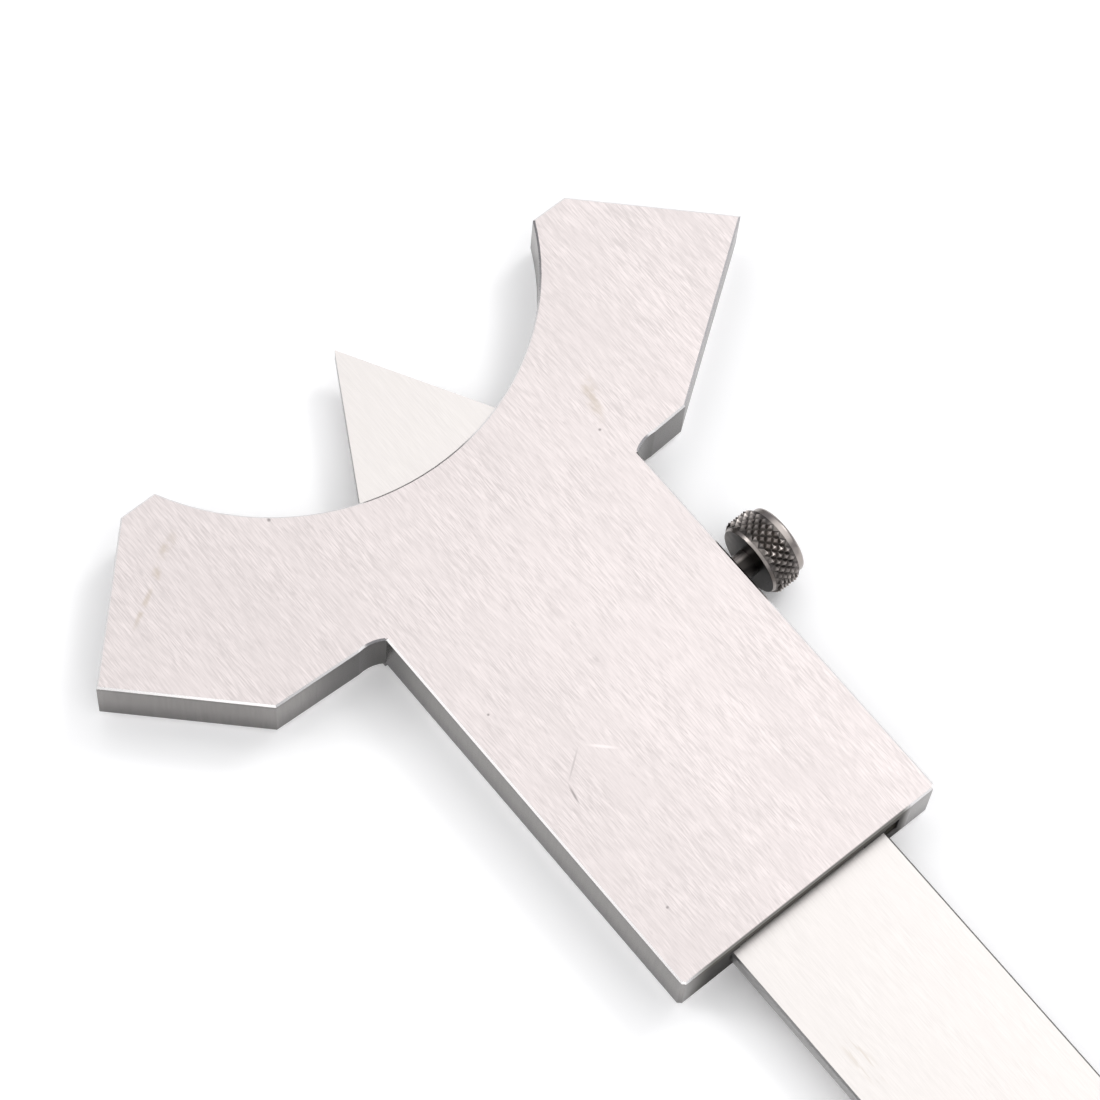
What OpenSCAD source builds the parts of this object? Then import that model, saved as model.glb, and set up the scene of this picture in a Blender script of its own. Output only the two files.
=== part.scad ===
// Vernier weld gauge: a flat body with two measuring wings and a pointed blade that slides through it.
// It lies on its front face. +Z is up, towards the plain back, +Y runs along the blade to its point,
// +X points to the lock screw, and the origin is on the floor at the middle of the shank's end.

/* [Plate stack, front to back] */
// Thickness of the wall in front of the blade
front_wall = 2.15; // [1.9:0.05:3]
// Thickness of the blade
blade_t = 1.5; // [1.2:0.05:2]
// Thickness of the wall behind the blade, at its two lands
rear_wall = 1.55; // [1.3:0.05:2.5]
// Depth of the relief milled between the two lands
relief_depth = 0.38; // [0.2:0.02:0.6]
// Width of the land beside the blade's plain edge
plain_land = 0.7; // [0.5:0.1:2]
// Width of the land beside the spring
spring_land = 1.9; // [1:0.1:3]

/* [Body outline] */
// Width of the shank
shank_w = 22.6; // [21.6:0.1:28]
// Length of the shank, from its end to the wings' shoulders
shank_len = 32.1; // [30:0.1:35]
// Distance from the shank's end to the plane of the feet
body_len = 50.3; // [48:0.1:56]
// Distance between the outer corners of the two feet
feet_span = 40; // [38:0.5:46]
// How far each 45 degree contact face runs out, and down, from its foot
face_run = 9; // [7:0.1:10]
// Angle at the tip of the left wing
left_corner = 90; // [85:1:95]
// Angle at the tip of the right wing
right_corner = 80; // [75:1:85]
// Slope of the shoulders, in degrees
shoulder_slope = 3; // [0:0.5:5]
// Radius that eases each shoulder into the shank
notch_r = 2.8; // [2:0.1:3.5]
// Distance from the shank at which that radius leaves the shoulder
notch_run = 2; // [1.7:0.1:2.4]
// How deep that radius bites into the shoulder
notch_bite = 0.05; // [0.04:0.01:0.08]
// Radius of the arc between the feet
arc_r = 19.05; // [17:0.05:21]
// Depth of the arc below the feet
arc_depth = 10.55; // [8:0.05:12]
// Corner break at the shank's end
end_break = 0.25; // [0.15:0.05:0.6]
// Chamfer round the back face
back_chamfer = 0.14; // [0.1:0.02:0.4]
// Chamfer round the front face
front_chamfer = 0.75; // [0.3:0.05:0.9]

/* [Blade] */
// Width of the blade
blade_w = 13.8; // [12:0.1:14.6]
// Length of the blade, from its point to its square end
blade_len = 103.3; // [90:0.1:120]
// Angle of the blade's point
tip_angle = 60; // [50:1:70]
// How far the point stands past the feet
tip_reach = 1.35; // [0:0.05:5]
// Chamfer along the blade's long edges
blade_chamfer = 0.14; // [0.1:0.02:0.4]

/* [Vernier window, in the front wall] */
// Width of the window
window_w = 9.8; // [8:0.1:10.2]
// Length of the window
window_len = 21; // [18:0.5:24]
// Distance from the shank's end to the window
window_start = 5.5; // [4:0.1:8]
// How far the window's plain side overlaps the blade's edge
window_lap = 0.75; // [0.5:0.05:1.5]
// Bevel round the window's front edge
window_bevel = 0.5; // [0.2:0.05:0.8]
// Length of the vernier plate
plate_len = 17; // [14:0.5:17.5]
// Width of the plate's flange, on the shank's rail
flange_w = 3.85; // [3.2:0.05:3.9]
// Thickness of the flange
flange_t = 1.2; // [1:0.05:1.4]
// Width of the vernier lip that reaches over the blade
lip_w = 3.6; // [3:0.1:5]
// Thickness of the lip's bevelled edge
lip_edge = 0.25; // [0.15:0.05:0.5]
// How far plate and screw heads sit below the front face
plate_sink = 0.1; // [0.05:0.05:0.3]
// Diameter of the plate screws' thread
plate_screw_d = 1.4; // [1.2:0.1:1.6]
// Diameter of their countersunk heads
plate_head_d = 2.5; // [2.2:0.1:2.6]
// Height of the straight rim on those heads
plate_rim = 0.12; // [0.05:0.01:0.2]
// Length of the plate screws
plate_screw_len = 3.4; // [2.6:0.1:4]
// Distance from the flange's outer edge to the plate screws
plate_screw_inset = 1.6; // [1.4:0.05:1.8]
// Distance between the plate screws
plate_screw_pitch = 12; // [10:0.5:13]

/* [Lock screw] */
// Distance from the shank's end to the screw's axis
screw_y = 21.1; // [17:0.1:24]
// Diameter of the thread
thread_d = 2.5; // [2:0.1:3]
// Diameter of the bare neck between the thread and the head
neck_d = 2.05; // [1.6:0.05:2.4]
// Diameter of the dog point that presses the spring
dog_d = 1.6; // [1.2:0.1:1.8]
// Diameter of the pilot that holds the spring in place
pilot_d = 0.9; // [0.6:0.1:1]
// Gap between the shank's side and the head
head_gap = 1.4; // [0.6:0.1:2]
// Diameter of the knurled head
head_d = 6.1; // [5:0.1:6.2]
// Width of the knurled band
knurl_w = 2.05; // [1.5:0.05:3]
// Depth of the knurl
knurl_depth = 0.27; // [0.15:0.01:0.35]
// Grooves round the head, each way
knurl_teeth = 26; // [16:1:30]
// Half diamonds across the band
knurl_rows = 6; // [3:1:8]
// Width of the smooth cone on the head's inner side
head_cone_w = 0.24; // [0.1:0.02:0.5]
// Step from the roots of the knurl in to that cone
cone_step = 0.06; // [0.03:0.01:0.1]
// Diameter of the head's inner face
head_face_d = 5.2; // [4:0.1:5.4]
// Diameter of the plain disc on the head's outer end
disc_d = 5.3; // [4:0.1:5.4]
// Thickness of that disc
disc_w = 0.65; // [0.4:0.05:1]
// Rounding of the disc's rim
disc_round = 0.25; // [0.1:0.05:0.35]

/* [Spring] */
// Width of the pocket beside the blade that holds the bowed spring
pocket_w = 1.2; // [1:0.05:1.6]
// Thickness of the spring's strip
spring_t = 0.4; // [0.25:0.05:0.6]
// Length of the spring
spring_len = 28; // [20:1:30]

/* [Clearances] */
// Gap between the blade and each face that it slides on
slide_clear = 0.05; // [0.02:0.01:0.1]
// Gap round each screw's thread
thread_clear = 0.04; // [0.02:0.01:0.08]
// Gap round pieces that sit in a recess
seat_clear = 0.05; // [0.03:0.01:0.1]

/* [Hidden] */
$fn = 72;

// Overrun of cuts past the faces that they open, and past the corners of the outline
over = 0.5;
corner_run = 2;

// Heights
slot_h = blade_t + 2 * slide_clear;
slot_top = front_wall + slot_h;
body_t = slot_top + rear_wall;
blade_z = front_wall + slide_clear;
pocket_h = slot_h + relief_depth;
screw_z = front_wall + pocket_h / 2;

// Outline of the body
contact_angle = 45;
side_x = shank_w / 2;
corner_c = [feet_span / 2 + face_run, body_len - face_run * tan(contact_angle)];
arc_y = body_len - arc_depth + arc_r;
foot_x = sqrt(pow(arc_r, 2) - pow(arc_y - body_len, 2));
notch_half = sqrt(pow(notch_r, 2) - pow(notch_r - notch_bite, 2));
notch_start = [side_x + notch_run, shoulder_y(side_x + notch_run)];
notch_axis = notch_start - notch_half * [cos(shoulder_slope), sin(shoulder_slope)]
    + (notch_r - notch_bite) * [sin(shoulder_slope), -cos(shoulder_slope)];
notch_y = notch_axis.y + sqrt(pow(notch_r, 2) - pow(notch_axis.x - side_x, 2));

// Slot, pocket and window
slot_x = blade_w / 2 + slide_clear;
pocket_x = slot_x + pocket_w;
pocket_end = screw_y + spring_len / 2 + slide_clear + over;
window_x = window_lap - blade_w / 2;
tip_y = body_len + tip_reach;

// Vernier plate and its screws
plate_x = window_x - flange_w;
plate_y = window_start + window_len / 2;
plate_screw_x = plate_x + plate_screw_inset;
plate_head_h = (plate_head_d - plate_screw_d) / 2;

// Lock screw and spring, along X
spring_x = slot_x + slide_clear;
dog_x = spring_x + spring_t + slide_clear;
head_x = side_x + head_gap;
bow = pocket_w - spring_t - 2 * slide_clear;
bow_r = (pow(spring_len / 2, 2) + pow(bow, 2)) / (2 * bow);

// Height of the shoulder line at x, and the lower corner of a wing whose tip has the given angle
function shoulder_y(x) = shank_len + (x - side_x) * tan(shoulder_slope);
function corner_d(angle) =
    let (m = tan(angle - contact_angle), s = tan(shoulder_slope))
    let (x = (shank_len - s * side_x - corner_c.y + m * corner_c.x) / (m - s))
    [x, shoulder_y(x)];

// Corners of the right half of the outline, for a wing tip of the given angle
function half_points(angle) = [
    [side_x - end_break, 0],
    [side_x, end_break],
    [side_x, shank_len],
    corner_d(angle),
    corner_c,
    [feet_span / 2, body_len]
];
function flipped(points) = [for (i = [len(points) - 1 : -1 : 0]) [-points[i].x, points[i].y]];

// Straight edges of the right half: start, end, and how far a cut runs past each
function half_edges(angle) =
    let (p = half_points(angle))
    [
        [[0, 0], p[0], 0, corner_run],
        [p[0], p[1], corner_run, corner_run],
        [p[1], [side_x, notch_y], corner_run, notch_bite],
        [notch_start, p[3], notch_half, corner_run],
        [p[3], p[4], corner_run, corner_run],
        [p[4], p[5], corner_run, corner_run],
        [p[5], [foot_x, body_len], corner_run, corner_run]
    ];

// Sweeps a profile along an edge: its x runs into the body and its y runs up
module along_edge(edge) {
    run = edge[1] - edge[0];
    translate(edge[0])
        rotate(atan2(run.y, run.x))
            translate([-edge[2], 0, 0])
                rotate([90, 0, 90])
                    linear_extrude(norm(run) + edge[2] + edge[3]) children();
}

module back_profile() {
    low = body_t - back_chamfer;
    polygon([[-over, low - over], [back_chamfer + over, body_t + over], [-over, body_t + over]]);
}

module front_profile() {
    polygon([[-over, -over], [front_chamfer + over, -over], [-over, front_chamfer + over]]);
}

// Chamfers both ends of a round cut of radius r through the body
module round_chamfers(r) {
    translate([0, 0, body_t - back_chamfer - over])
        cylinder(h = back_chamfer + 2 * over, r1 = r - over, r2 = r + back_chamfer + over);
    translate([0, 0, -over])
        cylinder(h = front_chamfer + 2 * over, r1 = r + front_chamfer + over, r2 = r - over);
}

// Chamfers of the right half, and the radius beside the shank
module half_cuts(angle) {
    for (edge = half_edges(angle)) {
        along_edge(edge) back_profile();
        along_edge(edge) front_profile();
    }
    intersection() {
        translate([notch_axis.x, notch_axis.y, 0]) {
            translate([0, 0, -over]) cylinder(h = body_t + 2 * over, r = notch_r);
            round_chamfers(notch_r);
        }
        span([side_x, shank_len - notch_r, -over],
             [notch_axis.x + 2 * notch_r, shank_len + notch_r, body_t + over]);
    }
}

// Fills the corner between shank and shoulder, where the notch then leaves its arc
module notch_fill() {
    linear_extrude(body_t)
        polygon([[side_x - over, notch_y], [side_x, notch_y], notch_start, notch_start + [0, over],
                 [side_x - over, shank_len + over]]);
}

module plate_blank() {
    linear_extrude(body_t) polygon(concat(half_points(right_corner), flipped(half_points(left_corner))));
    notch_fill();
    mirror([1, 0, 0]) notch_fill();
}

// Box between two corners
module span(low, high) {
    translate(low) cube(high - low);
}

module slot_cuts() {
    span([-slot_x, -over, front_wall], [slot_x, body_len + over, slot_top]);
    span([plain_land - blade_w / 2, -over, slot_top - over],
         [blade_w / 2 - spring_land, body_len + over, slot_top + relief_depth]);
    span([slot_x - slide_clear, -over, front_wall], [pocket_x, pocket_end, front_wall + pocket_h]);
}

module window_cuts() {
    high_x = window_x + window_w;
    high_y = window_start + window_len;
    span([window_x, window_start, -over], [high_x, high_y, front_wall + over]);
    for (edge = [[[high_x, window_start], [window_x, window_start]], [[high_x, high_y], [high_x, window_start]],
                 [[window_x, high_y], [high_x, high_y]]])
        along_edge([edge[0], edge[1], 0, 0])
            polygon([[-over, -over], [window_bevel + over, -over], [-over, window_bevel + over]]);
    span([plate_x - seat_clear, plate_y - plate_len / 2 - seat_clear, -over],
         [window_x + over, plate_y + plate_len / 2 + seat_clear, plate_sink + flange_t + seat_clear]);
    for (side = [-1, 1])
        translate([plate_screw_x, plate_y + side * plate_screw_pitch / 2, 0])
            cylinder(h = plate_sink + plate_screw_len + over, d = plate_screw_d + 2 * thread_clear);
}

module body() {
    color("gainsboro")
        difference() {
            plate_blank();
            translate([0, arc_y, -over]) cylinder(h = body_t + 2 * over, r = arc_r);
            translate([0, arc_y, 0]) round_chamfers(arc_r);
            half_cuts(right_corner);
            mirror([1, 0, 0]) half_cuts(left_corner);
            slot_cuts();
            window_cuts();
            translate([pocket_x - over, screw_y, screw_z])
                rotate([0, 90, 0])
                    cylinder(h = side_x - pocket_x + 2 * over, d = thread_d + 2 * thread_clear);
        }
}

module blade() {
    w = blade_w / 2;
    c = blade_chamfer;
    tip_run = w / tan(tip_angle / 2);
    color("whitesmoke")
        intersection() {
            translate([0, tip_y, blade_z])
                rotate([90, 0, 0])
                    linear_extrude(blade_len)
                        polygon([[c - w, 0], [w - c, 0], [w, c], [w, blade_t - c], [w - c, blade_t],
                                 [c - w, blade_t], [-w, blade_t - c], [-w, c]]);
            linear_extrude(body_t)
                polygon([[-w, tip_y - blade_len], [w, tip_y - blade_len], [w, tip_y - tip_run], [0, tip_y],
                         [-w, tip_y - tip_run]]);
        }
}

// Bowed strip: its ends bear on the pocket's wall and its middle on the blade
module gib_spring() {
    color("goldenrod")
        difference() {
            translate([0, screw_y, front_wall + seat_clear])
                linear_extrude(pocket_h - 2 * seat_clear)
                    intersection() {
                        translate([spring_x, -spring_len / 2]) square([pocket_w, spring_len]);
                        translate([spring_x + bow_r, 0])
                            difference() {
                                circle(bow_r, $fn = 720);
                                circle(bow_r - spring_t, $fn = 720);
                            }
                    }
            translate([spring_x - over, screw_y, screw_z])
                rotate([0, 90, 0])
                    cylinder(h = pocket_w + over, d = pilot_d + 2 * thread_clear);
        }
}

// Diamond knurl: rings of crests and roots by turns, half a tooth apart, between plain end rings
module knurl() {
    ring = 2 * knurl_teeth;
    function at(i, j) = j * ring + i % ring;
    points = [for (j = [0 : knurl_rows], i = [0 : ring - 1])
        let (root = j == 0 || j == knurl_rows || (i + j) % 2 == 1)
        let (r = head_d / 2 - (root ? knurl_depth : 0), a = i * 360 / ring)
        [r * cos(a), r * sin(a), j * knurl_w / knurl_rows]];
    sides = [for (j = [0 : knurl_rows - 1], i = [0 : ring - 1])
        let (a = at(i, j), b = at(i + 1, j), c = at(i + 1, j + 1), d = at(i, j + 1))
        each ((i + j) % 2 == 0 ? [[a, d, b], [b, d, c]] : [[a, c, b], [a, d, c]])];
    inner_end = [for (i = [0 : ring - 1]) i];
    outer_end = [for (i = [ring - 1 : -1 : 0]) at(i, knurl_rows)];
    polyhedron(points, concat([inner_end, outer_end], sides));
}

module lock_screw() {
    band_x = head_x + head_cone_w;
    cone_d = head_d - 2 * (knurl_depth + cone_step);
    disc_h = knurl_w / 2 + disc_w;
    color("dimgray")
        translate([0, screw_y, screw_z])
            rotate([0, 90, 0]) {
                translate([0, 0, dog_x - spring_t]) cylinder(h = spring_t + over, d = pilot_d);
                translate([0, 0, dog_x]) cylinder(h = pocket_x - dog_x + over, d = dog_d);
                translate([0, 0, pocket_x + slide_clear]) cylinder(h = side_x - pocket_x, d = thread_d);
                translate([0, 0, pocket_x + slide_clear]) cylinder(h = band_x - pocket_x, d = neck_d);
                translate([0, 0, head_x]) cylinder(h = head_cone_w, d1 = head_face_d, d2 = cone_d);
                translate([0, 0, band_x]) cylinder(h = knurl_w / 2, d = cone_d);
                translate([0, 0, band_x]) knurl();
                translate([0, 0, band_x + knurl_w / 2])
                    rotate_extrude() {
                        square([disc_d / 2 - disc_round, disc_h]);
                        square([disc_d / 2, disc_h - disc_round]);
                        translate([disc_d / 2 - disc_round, disc_h - disc_round]) circle(disc_round);
                    }
            }
}

module vernier_scale() {
    flange_top = plate_sink + flange_t;
    lip_top = front_wall - seat_clear;
    lip_x = window_x + lip_w;
    color("silver")
        difference() {
            translate([0, plate_y + plate_len / 2, 0])
                rotate([90, 0, 0])
                    linear_extrude(plate_len)
                        polygon([[plate_x, plate_sink], [lip_x - lip_top, plate_sink], [lip_x, lip_top - lip_edge],
                                 [lip_x, lip_top], [window_x + seat_clear, lip_top],
                                 [window_x + seat_clear, flange_top], [plate_x, flange_top]]);
            for (side = [-1, 1])
                translate([plate_screw_x, plate_y + side * plate_screw_pitch / 2, plate_sink])
                    plate_screw_shape(seat_clear, over);
        }
}

// Countersunk head and thread, standing on its head, larger all round by grow and run out by past
module plate_screw_shape(grow, past) {
    cylinder(h = plate_screw_len, d = plate_screw_d + 2 * grow);
    translate([0, 0, -past]) cylinder(h = past + plate_rim, d = plate_head_d + 2 * grow);
    translate([0, 0, plate_rim])
        cylinder(h = plate_head_h, d1 = plate_head_d + 2 * grow, d2 = plate_screw_d + 2 * grow);
}

module vernier_screw(side) {
    slot_w = 0.35;
    slot_depth = 0.3;
    color("silver")
        translate([plate_screw_x, plate_y + side * plate_screw_pitch / 2, plate_sink])
            difference() {
                plate_screw_shape(0, 0);
                span([-plate_head_d, -slot_w / 2, -over], [plate_head_d, slot_w / 2, slot_depth]);
            }
}

module vernier_screw_lower() vernier_screw(-1);

module vernier_screw_upper() vernier_screw(1);

body();
blade();
gib_spring();
lock_screw();
vernier_scale();
vernier_screw_lower();
vernier_screw_upper();
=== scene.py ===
"""Weld gauge: brushed, ground and knurled steels, inked scales on its front and a white stage."""

import math

import bmesh
import bpy
from bpy.props import FloatProperty, FloatVectorProperty, IntProperty, PointerProperty
from mathutils import Matrix, Vector


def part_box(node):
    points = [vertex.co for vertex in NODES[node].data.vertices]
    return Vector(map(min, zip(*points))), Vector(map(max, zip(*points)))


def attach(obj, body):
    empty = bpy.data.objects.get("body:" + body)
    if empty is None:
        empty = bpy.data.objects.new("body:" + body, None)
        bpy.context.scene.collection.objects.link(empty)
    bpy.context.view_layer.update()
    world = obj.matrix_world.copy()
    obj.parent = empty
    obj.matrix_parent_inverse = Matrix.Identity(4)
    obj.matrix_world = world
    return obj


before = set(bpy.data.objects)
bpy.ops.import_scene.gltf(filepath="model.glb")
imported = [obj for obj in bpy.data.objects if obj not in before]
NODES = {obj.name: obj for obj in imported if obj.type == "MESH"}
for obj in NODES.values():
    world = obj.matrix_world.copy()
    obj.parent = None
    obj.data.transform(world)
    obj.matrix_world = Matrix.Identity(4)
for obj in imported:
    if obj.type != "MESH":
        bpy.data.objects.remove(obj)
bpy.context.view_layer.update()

bl_info = {
    "name": "Weld gauge",
    "version": (1, 0, 0),
    "blender": (4, 5, 0),
    "location": "3D View > Sidebar > Gauge",
    "description": "Finishes and marks a sliding weld gauge and sets its stage",
    "category": "Object",
}

MM = 0.001
BACK_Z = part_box("body")[1].z
BACK_MM = BACK_Z / MM

# Wear on the body's back, in millimetres: from, to and width of a smudge; the same and the shade
# of a scratch; place and size of a speck. Place and half sizes of a rubbed spot on the blade.
SMUDGES = (
    ((-17.5, 47.2), (-20.2, 45.9), 1.1),
    ((-19.8, 46.3), (-21.4, 44.6), 0.9),
    ((-20.8, 45.2), (-24.9, 42.8), 0.6),
    ((12.4, 39.4), (10.6, 34.6), 1.6),
)
SCRATCHES = (
    ((-5.7, 17.7), (-8.4, 15.7), 0.2, 0.78),
    ((-8.2, 16.0), (-8.6, 14.0), 0.26, 0.55),
    ((-5.7, 17.5), (-3.6, 15.4), 0.35, 1.2),
)
SPECKS = ((-8.6, 4.9, 0.16), (10.3, 34.7, 0.16), (-12.1, 43.75, 0.2), (-9.3, 23.1, 0.14))
RUBBED = (-4.9, -11.0, 3.7), (0.9, 3.2, 1)

# Where a finish or painted light on the body starts and ends to change, in millimetres: painted
# shade low and high on the walls and in the notches, oil and painted shade round the slot's mouth
# and in the slot, and a painted shadow on its lip.
WALL_RISE, WALL_TOP = (0.3, 3.6), (4.6, 5.2)
NOTCH_X, NOTCH_Y = 12.5, 34.3
NOTCH_AREA = (2, 40)
END_WALL = (0.1, 0.2)
MOUTH_LEFT, MOUTH_RIGHT = (-11.2, -8.5), (8.2, 9.2)
LIP_SHADOW = (4.25, 4.6)
SLOT_START, SLOT_END = (0.0, 0.1), (27, 28)
SLOT_FLOOR, SLOT_ROOF = (2.05, 2.15), (4.8, 4.9)
SLOT_SIDE = (10.6, 10.9)

# The same along the lock screw, from the middle of the shank: painted shade on the shaft and the
# inner face, a painted highlight on the cone and the end disc.
SHAFT_END, INNER_FACE, CONE = (12.66, 12.7), (12.7, 12.74), (12.71, 12.75)
KNURL_START, KNURL_END, END_DISC = (12.9, 12.96), (14.97, 15.0), (15.0, 15.1)
# Painted shade on the inner face, lighter over a span in millimetres from the axis, and the
# knurl's crests, in shares of the head's radius, below which the grooves get painted shade. Place
# and half sizes of the painted glint on the shaft, from the axis.
INNER_SHADE, CREST = (0.5, 3.0), (0.93, 0.985)
GLINT = (0, 0.5, 0.9), (9, 0.5, 0.6)

# How far a normal points up or down on a flat face and on a chamfer.
FLAT, SLANTED = (0.9, 0.98), (0.3, 0.5)
TONE = (0.2, 0.8)
BUMP_DEPTH = 0.003 * MM

LONG_EVERY = 5
NUMERAL_SHARE = 0.7
NUMERAL_STEPS = 6

SENSOR_WIDTH = 36
CLIP_START, CLIP_END = 0.01, 20
# Name, place in metres, size and radiance of each lamp, and the point that all of them face.
LAMPS = (
    ("window", (0.62, 0.08, 0.75), 0.25, 7.5),
    ("key", (-0.24, -0.6, 0.62), 0.22, 3.0),
    ("fill", (-0.55, 0.65, 0.55), 0.25, 6.0),
    ("edge_left", (-0.92, 0.28, 0.28), 0.3, 1.0),
    ("edge_corner", (-0.65, -0.64, 0.38), 0.3, 1.2),
    ("edge_front", (0.27, -0.9, 0.27), 0.3, 0.7),
)
LAMP_AIM = (0, 0.02, 0)
# Heights between which the horizon's light turns into the ceiling's, as sines; the direction's X
# at which the room's level is 1; how much Y counts beside X.
SKY_RISE, SKY_MIDDLE, SKY_LEAN = (0.55, 0.85), 0.2, 0.2

# Sockets of a Mix node that blends colours.
MIX_FACTOR, MIX_FIRST, MIX_SECOND, MIX_RESULT = 0, 6, 7, 2


def length(name, description, default):
    """Length property in metres, from a default in millimetres."""
    return FloatProperty(name=name, description=description, default=default * MM,
                         unit="LENGTH", precision=5)


def colour(name, description, default):
    """Colour property."""
    return FloatVectorProperty(name=name, description=description, default=default,
                               subtype="COLOR", min=0)


def angle(name, description, default):
    """Angle property, from a default in degrees."""
    return FloatProperty(name=name, description=description, default=math.radians(default),
                         subtype="ANGLE")


def share(name, description, default):
    """Property for a share of one."""
    return FloatProperty(name=name, description=description, default=default,
                         subtype="FACTOR", min=0, soft_max=1)


class GaugeFinish(bpy.types.PropertyGroup):
    """Colours of the gauge's steels, of the painted highlight and shade on its chamfers and slot,
    and of the ink in its scales.
    """

    body_face: colour("Body face", "Brushed back and front of the body", (0.569, 0.521, 0.516))
    body_wall: colour("Body wall", "Milled walls of the body", (0.21, 0.198, 0.19))
    # Painted highlight: the chamfers are coloured lighter than the faces so that they show as
    # bright lines; body_steel gives the far side painted shade.
    edge: colour("Edges", "Narrow chamfers round the body", (0.92, 0.9, 0.89))
    blade_face: colour("Blade face", "Ground faces of the blade", (0.605, 0.577, 0.563))
    blade_side: colour("Blade side", "Ground sides of the blade", (0.34, 0.335, 0.33))
    # Painted shade: the blade's chamfers on the lock screw's side are darkened to a dark line; the
    # other side takes a lighter shade of the blade's side.
    blade_edge: colour("Blade edges", "Narrow chamfers along the blade", (0.13, 0.125, 0.12))
    dark_steel: colour("Dark steel", "Turned and knurled lock screw", (0.26, 0.236, 0.222))
    spring_steel: colour("Spring steel", "Tempered strip beside the blade", (0.2, 0.18, 0.145))
    scale_face: colour("Scale face", "Matt vernier plate", (0.72, 0.71, 0.7))
    stain: colour("Stain", "Faint smudges left by handling", (0.4, 0.34, 0.27))
    # Partly real oil, partly painted shade: dark colour round the slot's mouth and within the
    # slot, near black as a painted shadow on the lip.
    oiled: colour("Oil", "Film of old oil round the slot's mouth", (0.075, 0.07, 0.052))
    ink: colour("Ink", "Ink of the scales' lines and numbers", (0.012, 0.012, 0.013))


class GaugeMarks(bpy.types.PropertyGroup):
    """Sizes of the blade's scale and of the vernier."""

    line_w: length("Line width", "Width of an inked line", 0.09)
    line_h: length("Line height", "How far the ink stands proud of the steel", 0.006)
    short_line: length("Short line", "Length of a millimetre line", 2.0)
    long_line: length("Long line", "Length of a five millimetre line", 2.9)
    number_h: length("Number height", "Height of the blade's numbers", 1.5)
    number_gap: length("Number gap", "From the end of a long line to its number's middle", 1.5)
    tuck: length("Tuck", "How far the blade's lines start under the vernier's edge", 0.4)
    reading: length("Reading", "What the scale reads with the blade at rest", 18.65)
    vernier_zero: length("Vernier zero", "From the shank's end to the vernier's zero line", 11.5)
    vernier_step: length("Vernier step", "Distance between the vernier's lines", 0.9)
    vernier_line: length("Vernier line", "Length of a line of the vernier", 1.5)
    vernier_long_line: length("Vernier long line", "Length of a numbered line of the vernier", 2.1)
    vernier_lift: length("Vernier lift", "From the lip's top to where its lines start", 0.25)
    vernier_number_h: length("Vernier number height", "Height of the vernier's numbers", 1.1)
    vernier_number_gap: length("Vernier number gap", "From the bevel to a number's middle", 0.9)
    scale_end: IntProperty(name="Scale end", description="Last millimetre on the blade",
                           default=30, min=10)
    divisions: IntProperty(name="Divisions", description="Divisions of the vernier",
                           default=10, min=1)


class GaugeStage(bpy.types.PropertyGroup):
    """Camera, room light and floor."""

    lens: FloatProperty(name="Lens", description="Focal length of the camera", default=142.91,
                        unit="CAMERA")
    azimuth: angle("Azimuth", "Turn of the camera round the gauge", -45.652)
    elevation: angle("Elevation", "Height of the camera above the floor", 67.696)
    roll: angle("Roll", "Turn of the camera about its own axis", 6.587)
    distance: length("Distance", "From the camera to the point it aims at", 303.17)
    aim_x: length("Aim across", "Place across the shank that the camera aims at", 1.744)
    aim_y: length("Aim along", "Place along the shank that the camera aims at", 29.842)
    floor_size: length("Floor size", "Side of the square floor", 6000)
    floor_drop: length("Floor drop", "Gap between the gauge's front and the floor", 0.02)
    floor_colour: colour("Floor colour", "Plain pale floor", (0.98, 0.98, 0.985))
    floor_glow: share("Floor glow", "What lifts the floor to white", 0.1)
    sky_low: colour("Horizon", "Light of the room near the horizon", (0.32, 0.32, 0.34))
    sky_high: colour("Ceiling", "Light of the room overhead", (1.5, 1.5, 1.5))
    sky_side: share("Window side", "Growth of the light towards the lock screw", 0.42)


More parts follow.
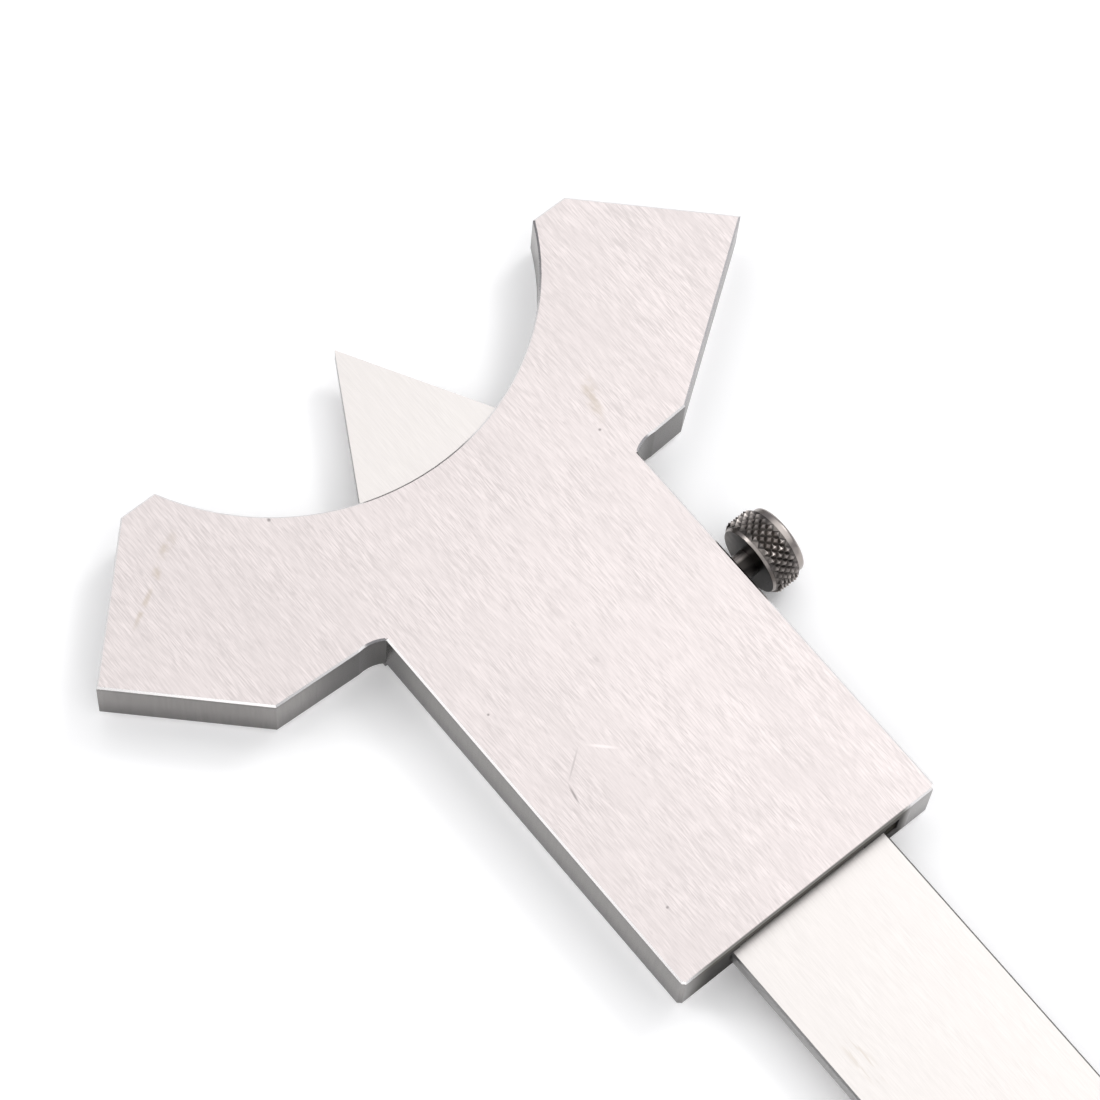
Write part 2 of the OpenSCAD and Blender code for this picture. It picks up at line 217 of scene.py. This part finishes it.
class Field:
    """A shader socket that takes part in Python expressions."""

    def __init__(self, socket):
        self.socket = socket

    @classmethod
    def of(cls, tree, kind, output=0, settings=None, inputs=None):
        """Output of a new node: its settings come first, then its sockets' values or links."""
        node = tree.nodes.new(kind)
        for name, value in (settings or {}).items():
            setattr(node, name, value)
        for name, value in (inputs or {}).items():
            plug(value, node.inputs[name])
        return cls(node.outputs[output])

    def node(self, kind, output=0, settings=None, inputs=None):
        """Output of a new node in this socket's tree."""
        return Field.of(self.socket.id_data, kind, output, settings, inputs)

    def maths(self, operation, first, second):
        """A Math node on two values."""
        return self.node("ShaderNodeMath", 0, {"operation": operation}, {0: first, 1: second})

    def __add__(self, other):
        return self.maths("ADD", self, other)

    def __sub__(self, other):
        return self.maths("SUBTRACT", self, other)

    def __rsub__(self, other):
        return self.maths("SUBTRACT", other, self)

    def __mul__(self, other):
        return self.maths("MULTIPLY", self, other)

    def __truediv__(self, other):
        return self.maths("DIVIDE", self, other)

    def __rtruediv__(self, other):
        return self.maths("DIVIDE", other, self)

    def __neg__(self):
        return self.maths("MULTIPLY", self, -1)

    def __abs__(self):
        return self.maths("ABSOLUTE", self, 0)

    __radd__ = __add__
    __rmul__ = __mul__

    def larger(self, other):
        """The larger of two values."""
        return self.maths("MAXIMUM", self, other)

    def step(self, low, high):
        """0 below low, 1 above high, smooth between."""
        return self.node("ShaderNodeMapRange", 0, {"interpolation_type": "SMOOTHSTEP"},
                         {"Value": self, "From Min": low, "From Max": high})

    def axis(self, name):
        """One component of a vector."""
        return self.node("ShaderNodeSeparateXYZ", name, None, {"Vector": self})

    def vector(self, operation, other, output="Vector"):
        """A Vector Math node on this vector and another."""
        return self.node("ShaderNodeVectorMath", output, {"operation": operation},
                         {0: self, 1: other})

    def stretched(self, scale):
        """A vector with each component multiplied by its own scale."""
        return self.vector("MULTIPLY", scale)

    def distance(self, place):
        """How far this position is from a place."""
        return self.vector("DISTANCE", place, "Value")

    def noise(self, scale, detail=2, wander=0):
        """Fractal noise, 0 to 1, with its own frequency along each axis of this position."""
        return self.node("ShaderNodeTexNoise", "Fac", None,
                         {"Vector": self.stretched(scale), "Scale": 1,
                          "Detail": detail, "Distortion": wander})

    def near(self, centre, size):
        """1 at a place, falling to 0 at an ellipsoid of the given half sizes round it."""
        scaled = self.vector("SUBTRACT", centre).stretched([1 / half for half in size])
        return 1 - scaled.distance((0, 0, 0)).step(0.2, 1)

    def stroke(self, start, end, width):
        """1 on a thin line between two places on the back, falling to 0 at its sides."""
        start, end = (Vector((*place, BACK_MM)) for place in (start, end))
        run = end - start
        turned = self.node("ShaderNodeVectorRotate", 0, {"rotation_type": "Z_AXIS"},
                           {"Vector": self, "Center": start, "Angle": -math.atan2(run.y, run.x)})
        middle = start + Vector((run.length / 2, 0, 0))
        return turned.near(middle, (run.length / 2, width / 2, 1))

    def mix(self, first, second):
        """Blends two colours by this factor."""
        return self.node("ShaderNodeMix", MIX_RESULT, {"data_type": "RGBA"},
                         {MIX_FACTOR: self, MIX_FIRST: paint(first), MIX_SECOND: paint(second)})

    def bump(self, strength):
        """Normal that follows this height."""
        return self.node("ShaderNodeBump", 0, None,
                         {"Height": self, "Strength": strength, "Distance": BUMP_DEPTH})


def plug(value, socket):
    """Links a field to a socket, or sets a plain value there."""
    if isinstance(value, Field):
        socket.id_data.links.new(value.socket, socket)
    else:
        socket.default_value = value


def feed(shader, **sockets):
    """Plugs fields or plain values into a shader's sockets."""
    for name, value in sockets.items():
        plug(value, shader.inputs[name.replace("_", " ")])


def paint(value):
    """A colour with an alpha, or a field as it is."""
    return value if isinstance(value, Field) else (*value[:3], 1)


def shade(tint, factor):
    """A colour made lighter or darker."""
    return tuple(min(1.0, c * factor) for c in tint[:3])


def new_material(name):
    """Material, its Principled shader and its object-space position in millimetres."""
    material = bpy.data.materials.new(name)
    material.use_nodes = True
    tree = material.node_tree
    place = Field.of(tree, "ShaderNodeTexCoord", "Object").stretched((1 / MM,) * 3)
    return material, tree.nodes["Principled BSDF"], place


def normal_of(material):
    """Object-space normal."""
    return Field.of(material.node_tree, "ShaderNodeTexCoord", "Normal")


def dress(obj, material):
    """Gives an object one material."""
    obj.data.materials.clear()
    obj.data.materials.append(material)


def faces_and_chamfers(normal):
    """Masks of the flat faces and of the slanted chamfers between them and the walls."""
    facing = abs(normal.axis("Z"))
    face = facing.step(*FLAT)
    return face, facing.step(*SLANTED) - face


def brushed(place):
    """Streaks left along Y by a grinding belt, 0 to 1."""
    fine = place.noise((12.0, 0.9, 1.0), detail=4, wander=0.3)
    coarse = place.noise((2.4, 0.22, 0.5), wander=0.4)
    patchy = place.noise((0.4, 0.25, 0.3)).step(0.25, 0.75)
    return (fine - 0.5) * (patchy + 0.4) + (coarse - 0.5) * 0.2 + 0.5


def flecks(place):
    """Sparse bright streaks and sparse dark flecks among the brushing, 0 or 1."""
    bright = place.noise((9.0, 0.5, 1.0), detail=1).step(0.65, 0.73)
    dark = place.stretched((1, 1, -1)).noise((7.0, 1.0, 1.0), detail=1).step(0.67, 0.77)
    return bright, dark


def worn_back(finish, place, streaks):
    """Colour of the body's faces: brushing, soft clouds, smudges, scratches and specks."""
    tint = finish.body_face
    bright, dark = flecks(place)
    cloudy = place.noise((0.11, 0.05, 0.1))
    tone = (streaks - 0.5) + (cloudy - 0.5) * 0.2 + bright * 0.12 - dark * 0.14 + 0.5
    ground = tone.step(*TONE).mix(shade(tint, 0.84), shade(tint, 1.16))
    patchy = place.noise((1.5, 1.0, 1.0), detail=3).step(0.35, 0.6)
    for start, end, width in SMUDGES:
        ground = (place.stroke(start, end, width) * patchy * 0.5).mix(ground, finish.stain)
    for start, end, width, factor in SCRATCHES:
        ground = place.stroke(start, end, width).mix(ground, shade(tint, factor))
    for x, y, size in SPECKS:
        ground = place.near((x, y, BACK_MM), (size, size, 1)).mix(ground, shade(tint, 0.5))
    return ground


def milled_wall(finish, place, milled):
    """Colour of the body's walls: milled mottling, with painted shade near the floor, under the
    edge and in the notches.
    """
    tint = finish.body_wall
    x, y, z = (place.axis(name) for name in "XYZ")
    # Painted shade: darker near the floor, lighter up the wall and darker again under the back's
    # edge.
    height = z.step(*WALL_RISE) - z.step(*WALL_TOP) * 0.5
    side = (milled * 0.3 + height * 0.55).mix(shade(tint, 0.28), shade(tint, 1.5))
    # Painted shade in the notches, round the middle of each.
    across, along = abs(x) - NOTCH_X, y - NOTCH_Y
    notch_shade = 1 - (across * across + along * along).step(*NOTCH_AREA)
    return (notch_shade * 0.8).mix(side, shade(tint, 0.3))


def oily_slot(finish, place):
    """Mask of the slot's oil and painted shade, and their colour: old oil round the mouth,
    darkened as painted shade, painted shade within the slot and a black painted shadow on the lip.
    """
    x, y, z = (place.axis(name) for name in "XYZ")
    # Partly oil, partly painted shade on the end wall round the slot's mouth.
    mouth = (1 - y.step(*END_WALL)) * x.step(*MOUTH_LEFT) * (1 - x.step(*MOUTH_RIGHT))
    # Painted shade within the slot.
    slot_shade = y.step(*SLOT_START) * (1 - y.step(*SLOT_END))
    slot_shade = slot_shade * z.step(*SLOT_FLOOR) * (1 - z.step(*SLOT_ROOF))
    slot_shade = slot_shade * (1 - abs(x).step(*SLOT_SIDE))
    # Painted shadow: black on the end wall just above the slot.
    lip = mouth * (1 - z.step(*LIP_SHADOW))
    oil = lip.mix(finish.oiled, shade(finish.oiled, 0.1))
    return (mouth * 0.8).larger(slot_shade * 0.97), oil


def body_steel(finish):
    """Brushed faces, milled walls with painted shade, narrow chamfers with a painted highlight on
    the near side and painted shade on the far side, and oil with painted shade in and round the
    slot.
    """
    material, shader, place = new_material("body_steel")
    normal = normal_of(material)
    face, chamfer = faces_and_chamfers(normal)
    streaks = brushed(place)
    milled = place.noise((5.0, 5.0, 0.3))
    # Painted light on the chamfers: a painted highlight on those facing -X and -Y, painted shade
    # on the others.
    painted_lit_side = (-(normal.axis("Y") + normal.axis("X") * 0.6)).step(-0.1, 0.25)
    painted_edge_shading = painted_lit_side.mix(shade(finish.edge, 0.7), finish.edge)
    steel = face.mix(milled_wall(finish, place, milled), worn_back(finish, place, streaks))
    # Oil and painted shade round the slot and in it, with a painted shadow on the lip.
    oil_and_shade_mask, oil = oily_slot(finish, place)
    grain = face * (streaks - 0.5) * 0.2
    feed(shader,
         Base_Color=oil_and_shade_mask.mix(chamfer.mix(steel, painted_edge_shading), oil),
         Metallic=1 - oil_and_shade_mask,
         Roughness=0.27 + face * 0.09 - chamfer * 0.1 + grain + oil_and_shade_mask * 0.6,
         Normal=(streaks * face + milled * (1 - (face + chamfer))).bump(0.2))
    return material


def blade_steel(finish):
    """Fine ground faces, brighter than the body's, sides with faint marks of grinding, and
    chamfers with painted light: painted shade towards the lock screw, lighter on the other side.
    """
    material, shader, place = new_material("blade_steel")
    normal = normal_of(material)
    face, chamfer = faces_and_chamfers(normal)
    streaks = brushed(place.stretched((1.3, 0.8, 1)))
    bright, dark = flecks(place.stretched((1.2, 0.7, 1)))
    tone = (streaks - 0.5) + bright * 0.1 - dark * 0.1 + 0.5
    ground = tone.step(*TONE).mix(shade(finish.blade_face, 0.95), shade(finish.blade_face, 1.06))
    rubbed = place.near(*RUBBED) * place.noise((4.0, 0.5, 1)).step(0.5, 0.64)
    ground = (rubbed * 0.4).mix(ground, finish.stain)
    marked = place.noise((1.0, 0.4, 4.0)).step(0.3, 0.7)
    side = marked.mix(shade(finish.blade_side, 0.88), shade(finish.blade_side, 1.12))
    # Painted shade on the chamfers facing +X, towards the lock screw; a lighter painted edge on
    # those facing -X.
    painted_shaded_side = normal.axis("X").step(-0.3, 0.3)
    painted_edge_shading = painted_shaded_side.mix(shade(finish.blade_side, 1.3), finish.blade_edge)
    feed(shader,
         Base_Color=chamfer.mix(face.mix(side, ground), painted_edge_shading),
         Metallic=1.0,
         Roughness=0.32 + face * 0.02 + face * (streaks - 0.5) * 0.12,
         Normal=(streaks * face).bump(0.12))
    return material


def dark_steel(finish):
    """Dark turned steel: mottled, with painted shade on the shaft, on the inner face and in the
    grooves of the knurl, a painted glint on the shaft and a painted highlight on the cone and the
    end disc.
    """
    material, shader, place = new_material("dark_steel")
    base = finish.dark_steel
    mottled = place.noise((1.6, 1.6, 1.6), detail=3)
    tint = mottled.step(0.3, 0.7).mix(shade(base, 1.3), shade(base, 2.2))
    low, high = (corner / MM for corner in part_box("lock_screw"))
    radius = (high.z - low.z) / 2
    along = place.axis("X")
    arm = place.vector("SUBTRACT", (low + high) / 2).stretched((0, 1, 1))
    reach = arm.distance((0, 0, 0)) / radius
    knurl = along.step(*KNURL_START) - along.step(*KNURL_END)
    # Painted shade in the knurl's grooves.
    groove_shade = knurl * (1 - reach.step(*CREST))
    # Painted highlight on the end disc and the bevel cone.
    painted_highlight = along.step(*END_DISC) + (1 - knurl) * along.step(*CONE)
    tint = painted_highlight.mix(tint, shade(base, 1.5))
    shaft = 1 - along.step(*SHAFT_END)
    # Painted shade on the shaft and the inner face, lighter towards +Y, with a painted glint on
    # the shaft.
    inner = (1 - along.step(*INNER_FACE)) * (0.98 - arm.axis("Y").step(*INNER_SHADE) * 0.4)
    painted_shade = groove_shade * 0.75 + inner - arm.near(*GLINT) * shaft
    feed(shader,
         Base_Color=painted_shade.mix(tint, shade(base, 0.1)),
         Metallic=1.0,
         Roughness=0.24 + mottled * 0.12,
         Normal=place.noise((14.0, 0.8, 0.8)).bump(0.15))
    return material


def plain_steel(name, tint, roughness):
    """Steel with fine mottling, for small pieces."""
    material, shader, place = new_material(name)
    mottled = place.noise((5.0, 1.2, 5.0), detail=3)
    feed(shader,
         Base_Color=mottled.step(0.25, 0.75).mix(shade(tint, 0.85), shade(tint, 1.12)),
         Metallic=1.0,
         Roughness=mottled * 0.15 + roughness)
    return material


def ink_paint(finish):
    """Matt ink, a little worn."""
    material, shader, place = new_material("ink")
    worn = place.noise((3.0, 3.0, 3.0), detail=3)
    feed(shader,
         Base_Color=worn.step(0.45, 0.8).mix(finish.ink, shade(finish.ink, 4)),
         Roughness=0.55 + worn * 0.2)
    return material


def add_line(mesh, start, along, across, out, size):
    """Adds a thin bar of ink from start, half sunk into the steel."""
    run, width, height = size
    bar = Matrix((along * run, across * width, out * (2 * height))).transposed().to_4x4()
    bar.translation = start + along * (run / 2)
    bmesh.ops.create_cube(mesh, size=1, matrix=bar)


def add_number(mesh, number, place, height, thick):
    """Adds a number that is read from below, with its top towards the shank's end."""
    curve = bpy.data.curves.new("number", "FONT")
    curve.body = str(number)
    curve.size = height / NUMERAL_SHARE
    curve.extrude = thick
    curve.align_x = "CENTER"
    curve.align_y = "CENTER"
    curve.resolution_u = NUMERAL_STEPS
    text = bpy.data.objects.new("number", curve)
    shape = text.to_mesh()
    shape.transform(Matrix.Translation(place) @ Matrix.Rotation(math.pi, 4, "X"))
    mesh.from_mesh(shape)
    text.to_mesh_clear()
    bpy.data.objects.remove(text)
    bpy.data.curves.remove(curve)


def add_piece(name, mesh, material, body):
    """Makes an object of a mesh, with its material, on its body."""
    bmesh.ops.recalc_face_normals(mesh, faces=mesh.faces)
    data = bpy.data.meshes.new(name)
    mesh.to_mesh(data)
    mesh.free()
    piece = bpy.data.objects.new(name, data)
    bpy.context.collection.objects.link(piece)
    dress(piece, material)
    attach(piece, body)


class GAUGE_OT_body(bpy.types.Operator):
    """Finish the body in brushed and milled steel"""

    bl_idname = "gauge.body"
    bl_label = "Body"

    def execute(self, context):
        dress(NODES["body"], body_steel(context.scene.gauge_finish))
        return {"FINISHED"}


class GAUGE_OT_blade(bpy.types.Operator):
    """Finish the blade in ground steel and ink its millimetre scale"""

    bl_idname = "gauge.blade"
    bl_label = "Blade"

    def execute(self, context):
        finish, marks = context.scene.gauge_finish, context.scene.gauge_marks
        dress(NODES["blade"], blade_steel(finish))
        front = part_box("blade")[0].z
        start_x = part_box("vernier_scale")[1].x - marks.tuck
        along, across, out = Vector((1, 0, 0)), Vector((0, 1, 0)), Vector((0, 0, -1))
        scale = bmesh.new()
        for value in range(marks.scale_end + 1):
            start = Vector((start_x, marks.vernier_zero - marks.reading + value * MM, front))
            run = marks.short_line if value % LONG_EVERY else marks.long_line
            add_line(scale, start, along, across, out, (run, marks.line_w, marks.line_h))
            if value % LONG_EVERY == 0:
                place = start + along * (marks.long_line + marks.number_gap)
                add_number(scale, value, place, marks.number_h, marks.line_h)
        add_piece("blade_scale", scale, ink_paint(finish), "sliding_blade")
        return {"FINISHED"}


class GAUGE_OT_lock(bpy.types.Operator):
    """Finish the lock screw and its spring"""

    bl_idname = "gauge.lock"
    bl_label = "Lock screw"

    def execute(self, context):
        finish = context.scene.gauge_finish
        dress(NODES["lock_screw"], dark_steel(finish))
        dress(NODES["gib_spring"], plain_steel("spring_steel", finish.spring_steel, 0.3))
        return {"FINISHED"}


class GAUGE_OT_vernier(bpy.types.Operator):
    """Finish the vernier plate and its screws, and ink its ten divisions"""

    bl_idname = "gauge.vernier"
    bl_label = "Vernier"

    def execute(self, context):
        finish, marks = context.scene.gauge_finish, context.scene.gauge_marks
        dress(NODES["vernier_scale"], plain_steel("scale_steel", finish.scale_face, 0.42))
        screws = plain_steel("screw_steel", shade(finish.scale_face, 0.8), 0.3)
        for name in ("vernier_screw_lower", "vernier_screw_upper"):
            dress(NODES[name], screws)
        low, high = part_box("vernier_scale")
        edge = Vector((high.x, 0, high.z - marks.vernier_lift))
        crest = Vector((high.x - high.z, 0, low.z))
        along = (crest - edge).normalized()
        across = Vector((0, 1, 0))
        out = across.cross(along)
        lines = bmesh.new()
        for value in range(marks.divisions + 1):
            up = across * (marks.vernier_zero + value * marks.vernier_step)
            run = marks.vernier_line if value % LONG_EVERY else marks.vernier_long_line
            add_line(lines, edge + up, along, across, out, (run, marks.line_w, marks.line_h))
            if value % LONG_EVERY == 0:
                place = crest + up - Vector((marks.vernier_number_gap, 0, 0))
                add_number(lines, value, place, marks.vernier_number_h, marks.line_h)
        add_piece("vernier_lines", lines, ink_paint(finish), "gauge_body")
        return {"FINISHED"}


def add_camera(scene, stage):
    """Camera at the fitted view of the back, turned about its own axis."""
    aim = Vector((stage.aim_x, stage.aim_y, BACK_Z))
    flat = math.cos(stage.elevation)
    back = Vector((math.sin(stage.azimuth) * flat, -math.cos(stage.azimuth) * flat,
                   math.sin(stage.elevation)))
    right = Vector((math.cos(stage.azimuth), math.sin(stage.azimuth), 0))
    up = back.cross(right)
    rolled_right = math.cos(stage.roll) * right + math.sin(stage.roll) * up
    rolled_up = math.cos(stage.roll) * up - math.sin(stage.roll) * right
    data = bpy.data.cameras.new("camera")
    data.lens = stage.lens
    data.sensor_width = SENSOR_WIDTH
    data.clip_start = CLIP_START
    data.clip_end = CLIP_END
    camera = bpy.data.objects.new("camera", data)
    turn = Matrix((rolled_right, rolled_up, back)).transposed()
    camera.matrix_world = Matrix.Translation(aim + back * stage.distance) @ turn.to_4x4()
    bpy.context.collection.objects.link(camera)
    scene.camera = camera


def add_floor(stage):
    """White floor that keeps the gauge's shadow."""
    half, z = stage.floor_size / 2, -stage.floor_drop
    corners = [(-half, -half, z), (half, -half, z), (half, half, z), (-half, half, z)]
    mesh = bpy.data.meshes.new("floor")
    mesh.from_pydata(corners, [], [(0, 1, 2, 3)])
    floor = bpy.data.objects.new("floor", mesh)
    bpy.context.collection.objects.link(floor)
    material = bpy.data.materials.new("floor")
    material.use_nodes = True
    tree = material.node_tree
    camera, glossy, clear = (Field.of(tree, "ShaderNodeLightPath", f"Is {ray} Ray")
                             for ray in ("Camera", "Glossy", "Transmission"))
    feed(tree.nodes["Principled BSDF"],
         Base_Color=paint(stage.floor_colour),
         Roughness=1.0,
         Specular_IOR_Level=0.0,
         Emission_Color=(camera + glossy + clear).mix((0, 0, 0), (stage.floor_glow,) * 3),
         Emission_Strength=1.0)
    dress(floor, material)


def light_room(scene, stage):
    """Room light that grows from the horizon to the ceiling and towards the lock screw's side."""
    world = bpy.data.worlds.new("studio")
    scene.world = world
    world.use_nodes = True
    tree = world.node_tree
    direction = Field.of(tree, "ShaderNodeTexCoord", "Generated")
    side = direction.axis("X") - SKY_MIDDLE + direction.axis("Y") * SKY_LEAN
    feed(tree.nodes["Background"],
         Color=direction.axis("Z").step(*SKY_RISE).mix(stage.sky_low, stage.sky_high),
         Strength=side * stage.sky_side + 1)


def add_lamp(name, place, size, radiance):
    """Square area lamp of the given radiance."""
    data = bpy.data.lights.new(name, "AREA")
    data.shape = "SQUARE"
    data.size = size
    data.energy = radiance * math.pi * size * size
    lamp = bpy.data.objects.new(name, data)
    lamp.location = place
    lamp.rotation_mode = "QUATERNION"
    lamp.rotation_quaternion = (Vector(LAMP_AIM) - Vector(place)).to_track_quat("-Z", "Y")
    bpy.context.collection.objects.link(lamp)


class GAUGE_OT_stage(bpy.types.Operator):
    """Set the camera, the lamps and the floor"""

    bl_idname = "gauge.stage"
    bl_label = "Stage"

    def execute(self, context):
        scene = context.scene
        scene.view_settings.view_transform = "Standard"
        add_camera(scene, scene.gauge_stage)
        add_floor(scene.gauge_stage)
        light_room(scene, scene.gauge_stage)
        for lamp in LAMPS:
            add_lamp(*lamp)
        return {"FINISHED"}


class GAUGE_PT_panel(bpy.types.Panel):
    """Lists the gauge's pieces, colours and sizes"""

    bl_idname = "GAUGE_PT_panel"
    bl_label = "Weld gauge"
    bl_space_type = "VIEW_3D"
    bl_region_type = "UI"
    bl_category = "Gauge"

    def draw(self, context):
        for operator in OPERATORS:
            self.layout.operator(operator.bl_idname)
        for group_name, group in GROUPS.items():
            for name in group.__annotations__:
                self.layout.prop(getattr(context.scene, group_name), name)


OPERATORS = (GAUGE_OT_stage, GAUGE_OT_body, GAUGE_OT_blade, GAUGE_OT_lock, GAUGE_OT_vernier)
GROUPS = {"gauge_finish": GaugeFinish, "gauge_marks": GaugeMarks, "gauge_stage": GaugeStage}


def register():
    """Adds the classes, and the property groups to the scene."""
    for cls in (*GROUPS.values(), *OPERATORS, GAUGE_PT_panel):
        bpy.utils.register_class(cls)
    for name, group in GROUPS.items():
        setattr(bpy.types.Scene, name, PointerProperty(type=group))


def unregister():
    """Takes them away again."""
    for name in GROUPS:
        delattr(bpy.types.Scene, name)
    for cls in (GAUGE_PT_panel, *OPERATORS, *GROUPS.values()):
        bpy.utils.unregister_class(cls)


def main():
    """Makes the stage and finishes every piece."""
    register()
    bpy.ops.gauge.stage()
    bpy.ops.gauge.body()
    bpy.ops.gauge.blade()
    bpy.ops.gauge.lock()
    bpy.ops.gauge.vernier()


if __name__ == "__main__":
    main()
